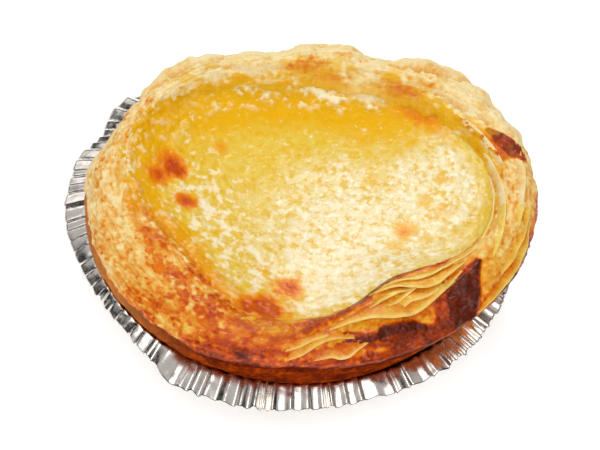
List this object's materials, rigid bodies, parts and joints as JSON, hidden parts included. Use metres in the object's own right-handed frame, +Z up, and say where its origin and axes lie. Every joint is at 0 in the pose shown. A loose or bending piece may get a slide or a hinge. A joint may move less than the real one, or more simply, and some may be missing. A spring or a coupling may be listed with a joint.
{
  "type": "egg tart",
  "caption": "Round flaky pastry tart with a swollen, layered rim and a shallow baked custard filling, standing in a pleated foil cup.",
  "frame": {"origin": "middle of the foil cup's flat floor, on the surface the cup stands on", "axes": "+Z up, out of the custard; -Y towards the side with the thickest, flakiest rim"},
  "size_m": [0.0829, 0.0792, 0.0278],
  "materials": {
    "foil": "bright pleated foil",
    "pastry": "baked puff pastry, flaky, dull to slightly glazed",
    "custard": "baked custard skin, moist"
  },
  "bodies": {
    "root": {"foil_cup": "foil", "pastry_shell": "pastry", "egg_custard": "custard"}
  },
  "joints": []
}
